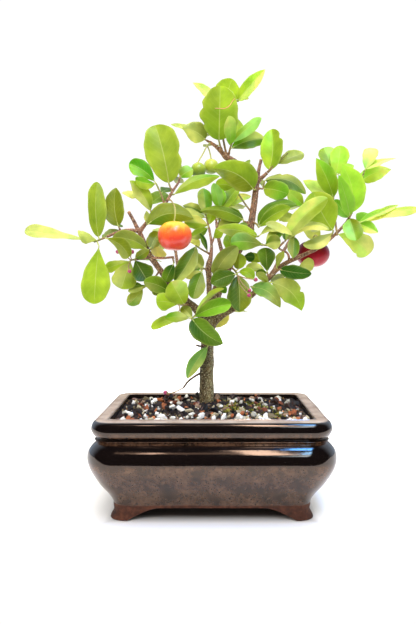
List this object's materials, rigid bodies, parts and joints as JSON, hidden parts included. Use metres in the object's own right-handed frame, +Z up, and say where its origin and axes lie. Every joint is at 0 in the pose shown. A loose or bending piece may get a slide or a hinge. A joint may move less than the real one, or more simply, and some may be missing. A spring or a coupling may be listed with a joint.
{
  "type": "barbados cherry bonsai",
  "caption": "Small fruiting bonsai tree with glossy oval leaves and round cherries, growing in a rectangular glazed pot on bracket feet, to stand on a shelf or table.",
  "frame": {"origin": "on the surface the feet stand on, under the middle of the whole plant's box; the pot's middle lies a little to the left and the front of it", "axes": "+Z up, +X to the right along the pot's long side, +Y from the front of the pot to its back"},
  "size_m": [0.3554, 0.206, 0.4048],
  "materials": {
    "glazed_clay": "glossy brown-black glaze over stoneware, bare at the feet",
    "potting_mix": "crumbly dark potting mix with white perlite",
    "bark": "rough grey-brown bark",
    "leaf": "satin, slightly translucent",
    "ripe_cherry": "glossy skin",
    "crimson_cherry": "glossy skin",
    "green_cherry": "satin skin",
    "stalk": "satin"
  },
  "bodies": {
    "root": {"pot": "glazed_clay", "soil": "potting_mix", "wood": "bark", "fruit_orange": "ripe_cherry", "stalk_orange": "stalk", "fruit_crimson": "crimson_cherry", "stalk_crimson": "stalk", "fruit_green": "green_cherry", "spray_far_left": "leaf", "spray_left_up": "leaf", "spray_arch": "leaf", "spray_left_high": "leaf", "spray_left_crown": "leaf", "spray_big_left": "leaf", "spray_left_long": "leaf", "spray_left_tip": "leaf", "spray_top_left": "leaf", "spray_top_big": "leaf", "spray_top_high": "leaf", "spray_top_right": "leaf", "spray_leader_left": "leaf", "spray_top_twig": "leaf", "spray_leader_right": "leaf", "spray_leader_low_right": "leaf", "spray_leader_arch": "leaf", "spray_bright_left": "leaf", "spray_teal": "leaf", "spray_mid_right": "leaf", "spray_mid_right_dark": "leaf", "spray_yellow": "leaf", "spray_right_back": "leaf", "spray_right_olive": "leaf", "spray_right_high": "leaf", "spray_right_tall": "leaf", "spray_right_top": "leaf", "spray_right_end": "leaf", "spray_low_bright": "leaf", "spray_low_pale": "leaf", "spray_inner_dark": "leaf", "spray_inner_olive": "leaf", "spray_inner_left": "leaf", "spray_dark_curl": "leaf", "spray_centre_top": "leaf", "spray_centre_mid": "leaf", "spray_centre_high": "leaf", "spray_inner_right": "leaf", "spray_lower_left_front": "leaf", "spray_lower_left_mid": "leaf", "spray_trunk_front": "leaf", "spray_trunk_back": "leaf", "spray_low_leaf": "leaf", "spray_left_low": "leaf", "spray_left_pale": "leaf", "spray_left_inner": "leaf", "spray_left_cross": "leaf", "spray_back_centre": "leaf", "spray_back_left": "leaf"}
  },
  "joints": []
}
